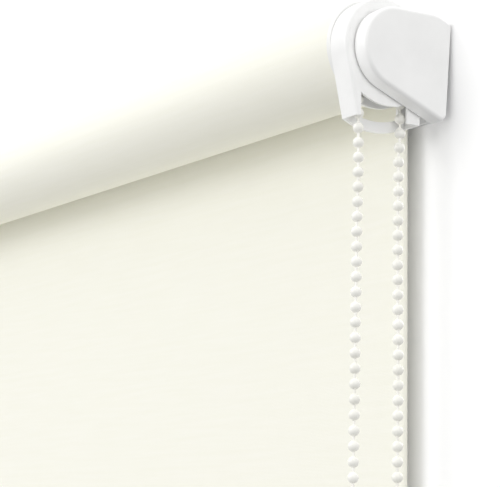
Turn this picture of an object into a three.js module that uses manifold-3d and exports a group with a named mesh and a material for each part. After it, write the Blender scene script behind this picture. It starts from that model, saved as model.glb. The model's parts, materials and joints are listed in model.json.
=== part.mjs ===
// Chain-operated roller blind, lowered, with its control end at +X and the wall at y = 0.
// Millimetres, +Z up. The origin is the centre of the wall flange of the control-side bracket.
import * as THREE from 'three';
import { mergeVertices } from 'three/addons/utils/BufferGeometryUtils.js';
import Module from 'manifold-3d';

const wasm = await Module();
wasm.setup();

// ---- Driving dimensions ----
const CLOTH_WIDTH = 600;
const CLOTH_DROP = 800;            // from the roller axis down to the fold of the hem
const CLOTH = 0.42;                // cloth thickness
const GAP = 0.3;                   // left between pieces that touch
const STEEL = 1.6;                 // bracket sheet

const AXIS_Y = -27;                // roller axis, from the wall
const AXIS_Z = 8.5;                // roller axis, above the middle of the bracket
const ROLL_R = 20.5;               // cloth roll when the blind is down
const TUBE_R = 19;
const TUBE_WALL = 1.1;
const ROLL_X = -3.75;              // control-side end of the cloth
const END_PLATE_R = 20.4;          // flanges that close the tube's ends

const CHAIN_X = 4.2;               // plane of the ball chain
const BEAD_R = 2.25;
const BEAD_PITCH = 6;
const POCKETS = 11;                // in the sprocket
const CHAIN_PHASE = 1.9;           // first bead on the sprocket, past the rear run's tangent point
const BEADS_IN_GUARD = 5;          // below the axis on each side
const CHAIN_TURN = -587.8;         // centre of the bottom loop, below the roller axis
const CONNECTOR_ABOVE_TURN = 30;
const JOURNAL_R = 6.2;             // the sprocket turns on it
const GROOVE_HALF = BEAD_R + 0.35; // half the groove's width in the sprocket
const SPRING_R = 6.4;              // wrap springs, middle of the wire
const CLIP_X = [-41.3, -40.5];     // retainer clip on the spindle
const BOSS_HALF = 3.6;             // square boss in the side plate's hole

const COVER_X = [10, 17];          // bracket cover, from the roll side to the outside
const COVER_REAR = { top: [-0.4, 20.6], crest: [-7.5, 23.2], heel: [-4.6, -21], corner: [-3, -19.8] };
const COVER_FILLET = 2;
const NOSE_R = 17;
const NOSE_DROP = 3;               // nose centre below the roller axis
const SHELL = 1.6;                 // moulded walls
const PLATE_X = 10.4;              // inner face of the bracket's side plate
const FLANGE_X = [-12, 12];        // wall flange of the bracket
const FLANGE_Z = 18.5;
const SLOT = { half: 2.25, reach: 2, z: 11 };  // screw slots in that flange
const IDLE_GAP = 3.25;             // from the idle end plug to its bracket plate

const GUARD_X = [0.9, 9.3];        // chain guard shell
const GUARD_BACK_X = [-0.9, 0.6];  // its back plate
const GUARD_R = 21;
const GUARD_DROP = 1.5;            // guard circle's centre below the roller axis
const GUARD_WALL = 1.2;
const SKIRT = { front: -14.9, rear: 17, foot: -31 };
const MOUTH_R = 25.3;              // lower edge of the guard's outer face
const MOUTH_REAR = 10.3;           // where that face comes down again as the rear skirt
const WINDOW_R = [24.5, 30];       // opening in the back plate, about the roller axis
const WINDOW_Y = [-10.8, 12.6];
const LIP_R = 34.5;                // lower edge of the back plate

const BAR = { height: 24, thickness: 4.4, wall: 1.1 };
const CAP_PROUD = 1.4;             // bar end caps past the cloth
const ROUND = 40;                  // sides of a full circle on the larger pieces
const INNER_ROUND = 24;            // and on the ones inside

// ---- Worked out from them ----
const ROLL_FAR_X = ROLL_X - CLOTH_WIDTH;
const MID_X = (ROLL_X + ROLL_FAR_X) / 2;
const IDLE_X = ROLL_FAR_X - 1.9;   // outer face of the idle end plug
const IDLE_PLATE_X = IDLE_X - IDLE_GAP;
const CHAIN_R = BEAD_PITCH / 2 / Math.sin(Math.PI / POCKETS);
const SHEET_Y = AXIS_Y + ROLL_R + GAP + CLOTH / 2;
const HEM_FOLD_Z = AXIS_Z - CLOTH_DROP;
const POCKET_HEIGHT = BAR.height + 2 * (GAP + CLOTH);
const SEAM_Z = HEM_FOLD_Z + POCKET_HEIGHT + GAP;

// ---- Materials ----
const finish = (color, roughness, metalness = 0) =>
  new THREE.MeshStandardMaterial({ color, roughness, metalness });
const WHITE_PLASTIC = finish(0xf4f4f2, 0.35);
const CHAIN_PLASTIC = finish(0xf3f3ee, 0.3);
const GREY_ACETAL = finish(0xd9dadb, 0.4);
const CREAM_CLOTH = finish(0xf4f3e8, 0.9);
const WHITE_STEEL = finish(0xeceded, 0.45, 0.2);
const ALUMINIUM = finish(0xc4c7c9, 0.35, 1);
const SPRING_STEEL = finish(0x8d9094, 0.3, 1);
const CLEAR_TAPE = finish(0xe6e2d2, 0.5);

// ---- Solids ----
const ALONG_X = new THREE.Matrix4().makeBasis(
  new THREE.Vector3(0, 1, 0), new THREE.Vector3(0, 0, 1), new THREE.Vector3(1, 0, 0));
const TURN_TO_X = new THREE.Matrix4().makeBasis(
  new THREE.Vector3(0, 0, 1), new THREE.Vector3(1, 0, 0), new THREE.Vector3(0, 1, 0));

function solid(geometry) {
  const bare = geometry.clone();
  bare.deleteAttribute('normal');
  bare.deleteAttribute('uv');
  const merged = mergeVertices(bare, 1e-4);
  const vertProperties = new Float32Array(merged.attributes.position.array);
  const triVerts = new Uint32Array(merged.index.array);
  const body = new wasm.Manifold(new wasm.Mesh({ numProp: 3, vertProperties, triVerts }));
  if (body.volume() > 0) return body;
  const turned = triVerts.map((v, i) => triVerts[i % 3 === 0 ? i : i % 3 === 1 ? i + 1 : i - 1]);
  return new wasm.Manifold(new wasm.Mesh({ numProp: 3, vertProperties, triVerts: turned }));
}

function cut(body, ...tools) {
  return tools.reduce((left, tool) => left.subtract(tool), body);
}

function join(body, ...others) {
  return others.reduce((sum, other) => sum.add(other), body);
}

function geometryOf(body) {
  const { vertProperties, triVerts } = body.getMesh();
  const geometry = new THREE.BufferGeometry();
  geometry.setAttribute('position', new THREE.BufferAttribute(vertProperties, 3));
  geometry.setIndex(new THREE.BufferAttribute(triVerts, 1));
  geometry.computeVertexNormals();
  return geometry;
}

// A block between two corners.
function block([x0, x1], [y0, y1], [z0, z1]) {
  const box = new THREE.BoxGeometry(x1 - x0, y1 - y0, z1 - z0);
  return solid(box.translate((x0 + x1) / 2, (y0 + y1) / 2, (z0 + z1) / 2));
}

// An outline in the YZ plane, carried from one x to another.
function prism(shape, [x0, x1], curveSegments = ROUND / 2) {
  const geometry = new THREE.ExtrudeGeometry(shape, { depth: x1 - x0, bevelEnabled: false, curveSegments });
  return solid(geometry.applyMatrix4(ALONG_X).translate(x0, 0, 0));
}

// An outline that draws in over the last few millimetres, so that the edge facing +X is rounded.
// outlineAt gives the outline for an inset, always with the same number of points.
function roundedPrism(outlineAt, [x0, x1], radius) {
  const stations = [[x0, 0]];
  for (let i = 0; i <= 3; i += 1) {
    const angle = (Math.PI / 2) * (i / 3);
    stations.push([x1 - radius * (1 - Math.sin(angle)), radius * (1 - Math.cos(angle))]);
  }
  const rings = stations.map(([, inset]) => outlineAt(inset).getPoints(ROUND / 2));
  const closed = rings.map((ring) => ring.slice(0, ring.length - 1));
  const count = closed[0].length;
  const positions = stations.flatMap(([x], k) => closed[k].flatMap((p) => [x, p.x, p.y]));
  const faces = THREE.ShapeUtils.triangulateShape(closed[0], []);
  const top = (stations.length - 1) * count;
  const index = faces.flatMap(([a, b, c]) => [a, c, b, top + a, top + b, top + c]);
  for (let k = 0; k < top; k += count) {
    for (let i = 0; i < count; i += 1) {
      const j = (i + 1) % count;
      index.push(k + i, k + j, k + count + i, k + j, k + count + j, k + count + i);
    }
  }
  const geometry = new THREE.BufferGeometry();
  geometry.setAttribute('position', new THREE.Float32BufferAttribute(positions, 3));
  geometry.setIndex(index);
  return solid(geometry);
}

// A profile of [x, radius] points that closes on itself, spun about the roller axis.
function turned(profile, segments = ROUND) {
  const points = [...profile, profile[0]].map(([x, r]) => new THREE.Vector2(r, x));
  const geometry = new THREE.LatheGeometry(points, segments);
  return solid(geometry.applyMatrix4(TURN_TO_X).translate(0, AXIS_Y, AXIS_Z));
}

// A ring about the roller axis.
function ring([x0, x1], [inner, outer], segments = ROUND) {
  return turned([[x0, inner], [x1, inner], [x1, outer], [x0, outer]], segments);
}

// A plain disc or rod on the roller axis.
function rod([x0, x1], radius, segments = ROUND) {
  const geometry = new THREE.CylinderGeometry(radius, radius, x1 - x0, segments);
  geometry.translate(0, (x0 + x1) / 2, 0).applyMatrix4(TURN_TO_X);
  return solid(geometry.translate(0, AXIS_Y, AXIS_Z));
}

// A swept tube along a curve, with a plain polygon for a section.
function sweep(curve, radius, steps, sides) {
  const section = new THREE.Shape();
  for (let i = 0; i < sides; i += 1) {
    const angle = (2 * Math.PI * i) / sides;
    section[i ? 'lineTo' : 'moveTo'](radius * Math.cos(angle), radius * Math.sin(angle));
  }
  section.closePath();
  return new THREE.ExtrudeGeometry(section, { steps, extrudePath: curve, bevelEnabled: false });
}

// Where a line from a point touches a circle, on the side given by +1 or -1.
function tangentAngle([cy, cz], radius, [py, pz], side) {
  const distance = Math.hypot(py - cy, pz - cz);
  return Math.atan2(pz - cz, py - cy) + side * Math.acos(radius / distance);
}

// A circle whose two tangents run down or back to a pair of corners.
function tearOutline(centre, radius, first, corners, last) {
  const shape = new THREE.Shape();
  const from = tangentAngle(centre, radius, first, 1);
  const to = tangentAngle(centre, radius, last, -1);
  shape.moveTo(first[0], first[1]);
  shape.lineTo(centre[0] + radius * Math.cos(from), centre[1] + radius * Math.sin(from));
  shape.absarc(centre[0], centre[1], radius, from, to, false);
  shape.lineTo(last[0], last[1]);
  corners.forEach(([y, z]) => shape.lineTo(y, z));
  shape.closePath();
  return shape;
}

// ---- Brackets ----
const mirrored = (body, sum) => body.mirror([1, 0, 0]).translate([sum, 0, 0]);
const atIdleBracket = (body) => mirrored(body, IDLE_PLATE_X + PLATE_X);

// Side view of a bracket: round nose in front, and a back that leans away from the wall at its foot.
function bracketOutline(inset, rear) {
  const centre = [AXIS_Y, AXIS_Z - NOSE_DROP];
  const { top, crest, heel, corner } = rear;
  const first = [crest[0], crest[1] - inset];
  const last = [heel[0], heel[1] + inset];
  const corners = [[corner[0], corner[1] + inset], [top[0], top[1] - inset]];
  return tearOutline(centre, NOSE_R - inset, first, corners, last);
}

// The same outline with its back flat on a plane.
const flatRear = (y) => ({ ...COVER_REAR, top: [y, COVER_REAR.top[1]], corner: [y, COVER_REAR.corner[1]] });

function bracketCover() {
  const outside = roundedPrism((inset) => bracketOutline(inset, COVER_REAR), COVER_X, COVER_FILLET);
  const hollow = prism(bracketOutline(SHELL, flatRear(2)), [COVER_X[0] - 1, COVER_X[1] - SHELL]);
  return cut(outside, hollow);
}

// One upright slot for a wall screw.
function screwSlot(z) {
  const shape = new THREE.Shape();
  shape.absarc(0, z + SLOT.reach, SLOT.half, 0, Math.PI, false);
  shape.absarc(0, z - SLOT.reach, SLOT.half, Math.PI, 2 * Math.PI, false);
  shape.closePath();
  const geometry = new THREE.ExtrudeGeometry(shape, { depth: 6, bevelEnabled: false, curveSegments: 6 });
  return solid(geometry.rotateX(Math.PI / 2).translate(0, 2, 0));
}

// Folded sheet: a side plate behind the cover and a flange on the wall.
function bracketPlate(hole) {
  const side = prism(bracketOutline(SHELL + 0.4, flatRear(-0.02)), [PLATE_X, PLATE_X + STEEL]);
  const flange = block([FLANGE_X[0], PLATE_X + STEEL], [-STEEL, 0], [-FLANGE_Z, FLANGE_Z]);
  return cut(join(side, flange), hole, screwSlot(SLOT.z), screwSlot(-SLOT.z));
}

// ---- Chain guard ----
function guardOutline(inset, foot) {
  const centre = [AXIS_Y, AXIS_Z - GUARD_DROP];
  const rear = [AXIS_Y + SKIRT.rear - inset, AXIS_Z + foot];
  const front = [AXIS_Y + SKIRT.front + inset, AXIS_Z + foot];
  return tearOutline(centre, GUARD_R - inset, rear, [], front);
}

function guardShell() {
  const outside = roundedPrism((inset) => guardOutline(inset, SKIRT.foot), GUARD_X, 2);
  const insideX = [GUARD_X[0] - 1, GUARD_X[1] - GUARD_WALL];
  const inside = prism(guardOutline(GUARD_WALL, SKIRT.foot - 4), insideX);
  const mouthY = [AXIS_Y + SKIRT.front + GUARD_WALL, AXIS_Y + MOUTH_REAR];
  const mouth = cut(
    block([GUARD_X[0] - 1, GUARD_X[1] + 1], mouthY, [AXIS_Z - 40, AXIS_Z - 15]),
    rod([GUARD_X[0] - 2, GUARD_X[1] + 2], MOUTH_R));
  return cut(outside, inside, mouth, rod([7, 10], JOURNAL_R + 0.4));
}

// Back plate, whose lip runs below the window and joins the two skirts.
function guardBack() {
  const blank = prism(guardOutline(0, SKIRT.foot), GUARD_BACK_X);
  const footY = [AXIS_Y + SKIRT.front, AXIS_Y + SKIRT.rear];
  const foot = block(GUARD_BACK_X, footY, [AXIS_Z - 36, AXIS_Z + SKIRT.foot + 0.1]);
  const plate = join(blank, foot.intersect(rod(GUARD_BACK_X, LIP_R)));
  const windowY = WINDOW_Y.map((y) => AXIS_Y + y);
  const window = cut(
    block([-2, 2], windowY, [AXIS_Z - 40, AXIS_Z - 15]).intersect(rod([-2, 2], WINDOW_R[1])),
    rod([-3, 3], WINDOW_R[0]));
  return cut(plate, window, rod([-2, 2], 9.6));
}

// ---- Clutch ----
function clutchSpindle() {
  const core = turned([[-42.6, 0.01], [10.1, 0.01], [10.1, JOURNAL_R], [-0.6, JOURNAL_R], [-0.6, 5.4],
    [-40.4, 5.4], [-40.4, 4.6], [-41.4, 4.6], [-41.4, 5.4], [-42.6, 5.4]], INNER_ROUND);
  const boss = block([10, 12.4], [AXIS_Y - BOSS_HALF, AXIS_Y + BOSS_HALF],
    [AXIS_Z - BOSS_HALF, AXIS_Z + BOSS_HALF]);
  return cut(join(rod([-42, 10], 3, INNER_ROUND), core, boss), rod([3.6, 13], 1.9, 16));
}

function spindleScrew() {
  const slot = block([14, 16], [AXIS_Y - 4, AXIS_Y + 4], [AXIS_Z - 0.5, AXIS_Z + 0.5]);
  return cut(join(rod([4, 13], 1.6, 16), rod([12.7, 14.8], 4.4, INNER_ROUND)), slot);
}

function onSprocket(angle, radius = CHAIN_R) {
  return [AXIS_Y + radius * Math.cos(angle), AXIS_Z + radius * Math.sin(angle)];
}

// Angle of a bead on the sprocket, counted from the rear run.
function beadAngle(i) {
  return (2 * Math.PI * (i + CHAIN_PHASE / BEAD_PITCH)) / POCKETS;
}

function ball([y, z], radius) {
  return solid(new THREE.SphereGeometry(radius, 8, 6).translate(CHAIN_X, y, z));
}

// A groove that clears the beads all the way round, with a deeper pocket for each bead in its floor.
function chainSprocket() {
  const floor = Array.from({ length: 9 }, (_, i) => {
    const angle = (Math.PI * i) / 8;
    return [CHAIN_X + GROOVE_HALF * Math.cos(angle), CHAIN_R - GROOVE_HALF * Math.sin(angle)];
  });
  const open = CHAIN_R + 3;
  const mouth = [[CHAIN_X + GROOVE_HALF, open], ...floor, [CHAIN_X - GROOVE_HALF, open]];
  const groove = turned(mouth, INNER_ROUND);
  const rim = cut(ring([0.9, 7.5], [JOURNAL_R + 0.3, 12.4], INNER_ROUND), groove);
  const body = join(rim, ring([-12, 1.2], [JOURNAL_R + 0.3, 9], INNER_ROUND));
  const pockets = Array.from({ length: POCKETS }, (_, i) =>
    ball(onSprocket(beadAngle(i), CHAIN_R - 0.5), BEAD_R + 0.65));
  return cut(body, ...pockets);
}

// Ribbed barrel that grips the tube, with a flange against the roll's end.
function tubePlug(flange, barrel, bore, farWall) {
  const inner = TUBE_R - TUBE_WALL - GAP;
  const hollow = ring(barrel, [bore, inner - 1.6], INNER_ROUND);
  let body = join(ring(flange, [bore, END_PLATE_R]), hollow, farWall);
  for (let i = 0; i < 6; i += 1) {
    const rib = block(barrel, [AXIS_Y - 1, AXIS_Y + 1], [AXIS_Z + inner - 2.4, AXIS_Z + inner - 0.1]);
    const angle = 30 + 60 * i;
    const turnedRib = rib.translate([0, -AXIS_Y, -AXIS_Z]).rotate([angle, 0, 0]);
    body = join(body, turnedRib.translate([0, AXIS_Y, AXIS_Z]));
  }
  return body;
}

function driveCrown() {
  return tubePlug([-3.2, -1.3], [-40, -3], 11.5, ring([-40, -37], [5.8, 12], INNER_ROUND));
}

// Coil wrapped on the spindle, with a tang turned outwards at each end.
function wrapSpring(x0) {
  const turns = 4.25;
  const pitch = 1.6;
  const coil = new THREE.Curve();
  coil.getPoint = (t) => {
    const angle = 2 * Math.PI * turns * t;
    const tang = Math.max(0, Math.abs(t - 0.5) * 2 - 0.96) / 0.04;
    const radius = SPRING_R + 2.4 * tang;
    return new THREE.Vector3(x0 + pitch * turns * t, AXIS_Y + radius * Math.cos(angle),
      AXIS_Z + radius * Math.sin(angle));
  };
  return solid(sweep(coil, 0.6, 51, 5));
}

function spindleClip() {
  const slot = block([-42, -40], [AXIS_Y - 3.4, AXIS_Y + 3.4], [AXIS_Z - 12, AXIS_Z - 2]);
  return cut(ring(CLIP_X, [4.9, 8.2], INNER_ROUND), slot);
}

// ---- Roller ----
// The tube has a keyway pressed inwards along its top.
function rollerTube() {
  const section = (radius, notch) => {
    const half = notch.width / 2;
    const from = Math.PI / 2 + Math.asin(half / radius);
    const path = new THREE.Path();
    path.absarc(AXIS_Y, AXIS_Z, radius, from, from + 2 * (Math.PI - Math.asin(half / radius)), false);
    path.lineTo(AXIS_Y + half, AXIS_Z + radius - notch.depth);
    path.lineTo(AXIS_Y - half, AXIS_Z + radius - notch.depth);
    return path;
  };
  const outside = section(TUBE_R, { width: 3, depth: 1.7 });
  const inside = section(TUBE_R - TUBE_WALL, { width: 3 + 2 * TUBE_WALL, depth: 1.7 });
  const shape = new THREE.Shape(outside.getPoints(INNER_ROUND));
  shape.holes.push(new THREE.Path(inside.getPoints(INNER_ROUND)));
  return prism(shape, [ROLL_FAR_X + 0.3, ROLL_X - 0.3]);
}

function bondTape() {
  const shape = new THREE.Shape();
  shape.absarc(AXIS_Y, AXIS_Z, TUBE_R + 0.4, 0.2, 0.8, false);
  shape.absarc(AXIS_Y, AXIS_Z, TUBE_R + 0.2, 0.8, 0.2, true);
  shape.closePath();
  return prism(shape, [ROLL_FAR_X + 4, ROLL_X - 4], 8);
}

const PIN_COLLAR_X = ROLL_FAR_X + 3.3;
const PIN_TRAVEL = 6.5;

function idleEndPlug() {
  const barrel = [ROLL_FAR_X - 0.5, ROLL_FAR_X + 31];
  const frontWall = ring([barrel[0], barrel[0] + 3.5], [2.8, 6], INNER_ROUND);
  const backWall = ring([barrel[1] - 3, barrel[1]], [1.2, 6], INNER_ROUND);
  return tubePlug([IDLE_X, ROLL_FAR_X - 0.3], barrel, 5, join(frontWall, backWall));
}

function idlePin() {
  const tip = IDLE_PLATE_X - STEEL - 2;
  return turned([[PIN_COLLAR_X + 6, 0.01], [PIN_COLLAR_X + 6, 2], [PIN_COLLAR_X + 2, 2],
    [PIN_COLLAR_X + 2, 4.4], [PIN_COLLAR_X, 4.4], [PIN_COLLAR_X, 2.5], [tip + 1, 2.5], [tip, 1.5],
    [tip, 0.01]], INNER_ROUND);
}

function idlePinBush() {
  const faces = [IDLE_PLATE_X - STEEL - 0.6, IDLE_PLATE_X + GAP];
  return join(ring(faces, [2.56, 4.3], INNER_ROUND), ring([faces[1], faces[1] + 1], [2.56, 6], INNER_ROUND));
}

// Drawn as short as the pin's full travel makes it, which leaves the pin's collar its room.
function pinSpring() {
  const from = PIN_COLLAR_X + 2.8 + PIN_TRAVEL;
  const length = ROLL_FAR_X + 27.2 - from;
  const turns = 7;
  const coil = new THREE.Curve();
  coil.getPoint = (t) => new THREE.Vector3(from + length * t,
    AXIS_Y + 3.4 * Math.cos(2 * Math.PI * turns * t), AXIS_Z + 3.4 * Math.sin(2 * Math.PI * turns * t));
  return solid(sweep(coil, 0.4, 70, 5));
}

// ---- Cloth and bottom bar ----
const ovalAround = (halfY, height, bottom) => {
  const shape = new THREE.Shape();
  shape.absarc(SHEET_Y, bottom + height - halfY, halfY, 0, Math.PI, false);
  shape.absarc(SHEET_Y, bottom + halfY, halfY, Math.PI, 2 * Math.PI, false);
  shape.closePath();
  return shape;
};

const oval = (grow, span) => {
  const bottom = HEM_FOLD_Z + CLOTH + GAP - grow;
  return prism(ovalAround(BAR.thickness / 2 + grow, BAR.height + 2 * grow, bottom), span, 8);
};

function hemPocket() {
  const span = [ROLL_FAR_X, ROLL_X];
  return cut(oval(GAP + CLOTH, span), oval(GAP, [span[0] - 1, span[1] + 1]));
}

function bottomBar() {
  const span = [ROLL_FAR_X + 1, ROLL_X - 1];
  return cut(oval(0, span), oval(-BAR.wall, [span[0] - 1, span[1] + 1]));
}

// Cap on the bar's control end: a plate with a tongue in the bar.
function barCap() {
  const plate = oval(GAP + CLOTH, [ROLL_X + 0.3, ROLL_X + CAP_PROUD + 0.3]);
  return join(plate, oval(-BAR.wall - 0.3, [ROLL_X - 14, ROLL_X + 0.5]));
}

// ---- Ball chain ----
// The part that the guard and sprocket hold: beads on a string, over the top and down to the mouth.
// The sprocket takes half its pockets' worth of pitches, so the two runs have beads at other heights.
function chainOverSprocket() {
  const onTop = Math.ceil(POCKETS / 2);
  const beads = Array.from({ length: onTop }, (_, i) => onSprocket(beadAngle(i)));
  const rearLead = BEAD_PITCH - CHAIN_PHASE;
  const frontLead = onTop * BEAD_PITCH - (POCKETS / 2) * BEAD_PITCH + CHAIN_PHASE;
  for (let i = 0; i < BEADS_IN_GUARD; i += 1) {
    beads.push([AXIS_Y + CHAIN_R, AXIS_Z - rearLead - BEAD_PITCH * i]);
    beads.push([AXIS_Y - CHAIN_R, AXIS_Z - frontLead - BEAD_PITCH * i]);
  }
  const arc = new THREE.Curve();
  arc.getPoint = (t) => new THREE.Vector3(CHAIN_X, ...onSprocket(Math.PI * t));
  const string = solid(sweep(arc, 0.5, 2 * POCKETS, 4));
  const drop = BEAD_PITCH * (BEADS_IN_GUARD - 1) + rearLead;
  const drops = [CHAIN_R, -CHAIN_R].map((y) => block([CHAIN_X - 0.45, CHAIN_X + 0.45],
    [AXIS_Y + y - 0.45, AXIS_Y + y + 0.45], [AXIS_Z - drop, AXIS_Z + 0.1]));
  return join(string, ...beads.map((bead) => ball(bead, BEAD_R)), ...drops);
}

// The free loop, from the front skirt down, round and up to the rear skirt, below the axis.
const CHAIN_TOP = -BEAD_PITCH * BEADS_IN_GUARD - BEAD_R;

function chainRun(side, from, to) {
  const line = new THREE.LineCurve3(
    new THREE.Vector3(CHAIN_X, AXIS_Y + side * CHAIN_R, AXIS_Z + from),
    new THREE.Vector3(CHAIN_X, AXIS_Y + side * CHAIN_R, AXIS_Z + to));
  return solid(sweep(line, BEAD_R, 30, 8));
}

function chainLoop() {
  const arc = new THREE.Curve();
  arc.getPoint = (t) => new THREE.Vector3(CHAIN_X, AXIS_Y - CHAIN_R * Math.cos(Math.PI * t),
    AXIS_Z + CHAIN_TURN - CHAIN_R * Math.sin(Math.PI * t));
  return solid(sweep(arc, BEAD_R, 12, 8));
}

// Clip that closes the chain, round two beads of the rear run.
function chainConnector() {
  const z = CHAIN_TURN + CONNECTOR_ABOVE_TURN;
  const profile = [[0, 2.6], [0, 4], [1, 4.4], [13, 4.4], [14, 4], [14, 2.6]];
  const points = [...profile, profile[0]].map(([h, r]) => new THREE.Vector2(r, h));
  const barrel = new THREE.LatheGeometry(points, 16).rotateX(Math.PI / 2);
  const body = solid(barrel.translate(CHAIN_X, AXIS_Y + CHAIN_R, AXIS_Z + z));
  const slit = block([CHAIN_X + 2, CHAIN_X + 6], [AXIS_Y + CHAIN_R - 0.8, AXIS_Y + CHAIN_R + 0.8],
    [AXIS_Z + z - 20, AXIS_Z + z + 20]);
  return cut(body, slit);
}

// ---- Assembly ----
const blind = new THREE.Group();

function part(name, body, material) {
  const mesh = new THREE.Mesh(geometryOf(body), material);
  mesh.name = name;
  blind.add(mesh);
}

const HOLE_HALF = BOSS_HALF + 0.4;
const squareHole = block([9, 13], [AXIS_Y - HOLE_HALF, AXIS_Y + HOLE_HALF],
  [AXIS_Z - HOLE_HALF, AXIS_Z + HOLE_HALF]);
part('control_bracket_plate', bracketPlate(squareHole), WHITE_STEEL);
part('control_bracket_cover', bracketCover(), WHITE_PLASTIC);
part('chain_guard_shell', guardShell(), WHITE_PLASTIC);
part('chain_guard_back', guardBack(), WHITE_PLASTIC);
part('clutch_spindle', clutchSpindle(), GREY_ACETAL);
part('spindle_screw', spindleScrew(), SPRING_STEEL);
part('wrap_spring_outer', wrapSpring(-22), SPRING_STEEL);
part('wrap_spring_inner', wrapSpring(-33), SPRING_STEEL);
part('spindle_clip', spindleClip(), SPRING_STEEL);

part('drive_crown', driveCrown(), WHITE_PLASTIC);
part('chain_sprocket', chainSprocket(), WHITE_PLASTIC);
part('roller_tube', rollerTube(), ALUMINIUM);
part('cloth_bond_tape', bondTape(), CLEAR_TAPE);
part('cloth_roll', ring([ROLL_FAR_X, ROLL_X], [TUBE_R + 0.6, ROLL_R]), CREAM_CLOTH);

part('idle_end_plug', idleEndPlug(), WHITE_PLASTIC);
part('idle_pin', idlePin(), SPRING_STEEL);
part('idle_pin_spring', pinSpring(), SPRING_STEEL);

const sheetSpan = [SHEET_Y - CLOTH / 2, SHEET_Y + CLOTH / 2];
part('cloth_sheet', block([ROLL_FAR_X, ROLL_X], sheetSpan, [SEAM_Z, AXIS_Z]), CREAM_CLOTH);
part('hem_pocket', hemPocket(), CREAM_CLOTH);
part('bottom_bar', bottomBar(), ALUMINIUM);
part('bar_cap_control', barCap(), WHITE_PLASTIC);
part('bar_cap_idle', mirrored(barCap(), 2 * MID_X), WHITE_PLASTIC);

part('ball_chain_drive', chainOverSprocket(), CHAIN_PLASTIC);
part('ball_chain_front', chainRun(-1, CHAIN_TOP, CHAIN_TURN + GAP), CHAIN_PLASTIC);
part('ball_chain_loop', chainLoop(), CHAIN_PLASTIC);
part('ball_chain_rear', chainRun(1, CHAIN_TURN + GAP, CHAIN_TOP), CHAIN_PLASTIC);
part('chain_connector', chainConnector(), CHAIN_PLASTIC);

part('idle_bracket_plate', atIdleBracket(bracketPlate(rod([9, 13], 4.6, INNER_ROUND))), WHITE_STEEL);
part('idle_pin_bush', idlePinBush(), GREY_ACETAL);
part('idle_bracket_cover', atIdleBracket(bracketCover()), WHITE_PLASTIC);

export default blind;
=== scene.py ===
"""Chain-operated roller blind, dressed over its CAD frame.

The frame gives every position. Each sub-assembly is a class that keeps its own sizes in
millimetres, builds its pieces in metres and hands them to the body that they move with.
"""

from __future__ import annotations

import json
import logging
import math
from dataclasses import dataclass, field
from enum import Enum
from typing import Callable, Iterable, Sequence

import bmesh
import bpy
from mathutils import Matrix, Vector
from mathutils.geometry import tessellate_polygon


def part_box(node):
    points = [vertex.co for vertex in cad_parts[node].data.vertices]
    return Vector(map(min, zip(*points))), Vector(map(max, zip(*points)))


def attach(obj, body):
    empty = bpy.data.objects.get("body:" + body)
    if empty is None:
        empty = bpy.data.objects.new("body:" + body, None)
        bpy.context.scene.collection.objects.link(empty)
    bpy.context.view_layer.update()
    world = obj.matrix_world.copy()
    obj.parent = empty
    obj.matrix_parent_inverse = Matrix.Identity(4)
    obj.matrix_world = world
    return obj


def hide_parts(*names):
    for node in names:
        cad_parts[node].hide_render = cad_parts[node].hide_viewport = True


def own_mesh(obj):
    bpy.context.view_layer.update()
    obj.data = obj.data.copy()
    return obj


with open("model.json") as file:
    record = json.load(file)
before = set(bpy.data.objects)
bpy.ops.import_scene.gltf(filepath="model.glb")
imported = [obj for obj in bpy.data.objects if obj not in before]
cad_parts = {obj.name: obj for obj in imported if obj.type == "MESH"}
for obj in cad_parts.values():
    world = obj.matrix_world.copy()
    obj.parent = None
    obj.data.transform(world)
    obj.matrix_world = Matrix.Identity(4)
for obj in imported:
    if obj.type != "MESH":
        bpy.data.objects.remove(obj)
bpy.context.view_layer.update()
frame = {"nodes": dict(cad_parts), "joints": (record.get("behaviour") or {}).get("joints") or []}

MM = 0.001
SHARP_DEGREES = 32.0
LOG = logging.getLogger("roller_blind")

Piece = bpy.types.Object
Socket = bpy.types.NodeSocket
Tree = bpy.types.NodeTree
Point2 = tuple[float, float]
Point3 = tuple[float, float, float]
Path2 = list[Point2]


# ----------------------------------------
# Nodes, colours and materials
# ----------------------------------------


def linear(hex_colour: str) -> tuple[float, float, float, float]:
    """Turn an sRGB hex colour into the linear RGBA that a socket takes.

    Args:
        hex_colour: six hex digits.

    Returns:
        Linear red, green, blue and an alpha of 1.
    """
    channels = [int(hex_colour[i : i + 2], 16) / 255 for i in (0, 2, 4)]
    red, green, blue = [
        c / 12.92 if c <= 0.04045 else ((c + 0.055) / 1.055) ** 2.4 for c in channels
    ]
    return (red, green, blue, 1.0)


def add_node(
    tree: Tree,
    kind: str,
    settings: dict | None = None,
    links: dict | None = None,
) -> bpy.types.Node:
    """Add a node with its settings and links.

    Args:
        tree: the tree that gets the node.
        kind: the node's type name.
        settings: lower-case keys are properties of the node, any others are its input sockets.
        links: input socket to the output that feeds it.

    Returns:
        The new node.
    """
    node = tree.nodes.new(kind)
    for key, value in (settings or {}).items():
        if isinstance(key, str) and key[0].islower():
            setattr(node, key, value)
        else:
            node.inputs[key].default_value = value
    for key, source in (links or {}).items():
        tree.links.new(source, node.inputs[key])
    return node


def output_of(
    tree: Tree,
    kind: str,
    settings: dict | None = None,
    links: dict | None = None,
    output: int | str = 0,
) -> Socket:
    """Add a node as add_node does, and return one of its outputs."""
    return add_node(tree, kind, settings, links).outputs[output]


def calculate(tree: Tree, operation: str, *values: Socket | float) -> Socket:
    """Add a Math node.

    Args:
        tree: the tree that gets the node.
        operation: what it works out.
        values: its inputs in order, each a socket or a plain number.

    Returns:
        The result's socket.
    """
    node = add_node(tree, "ShaderNodeMath", {"operation": operation})
    for socket, value in zip(node.inputs, values):
        if isinstance(value, Socket):
            tree.links.new(value, socket)
        else:
            socket.default_value = value
    return node.outputs[0]


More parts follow.
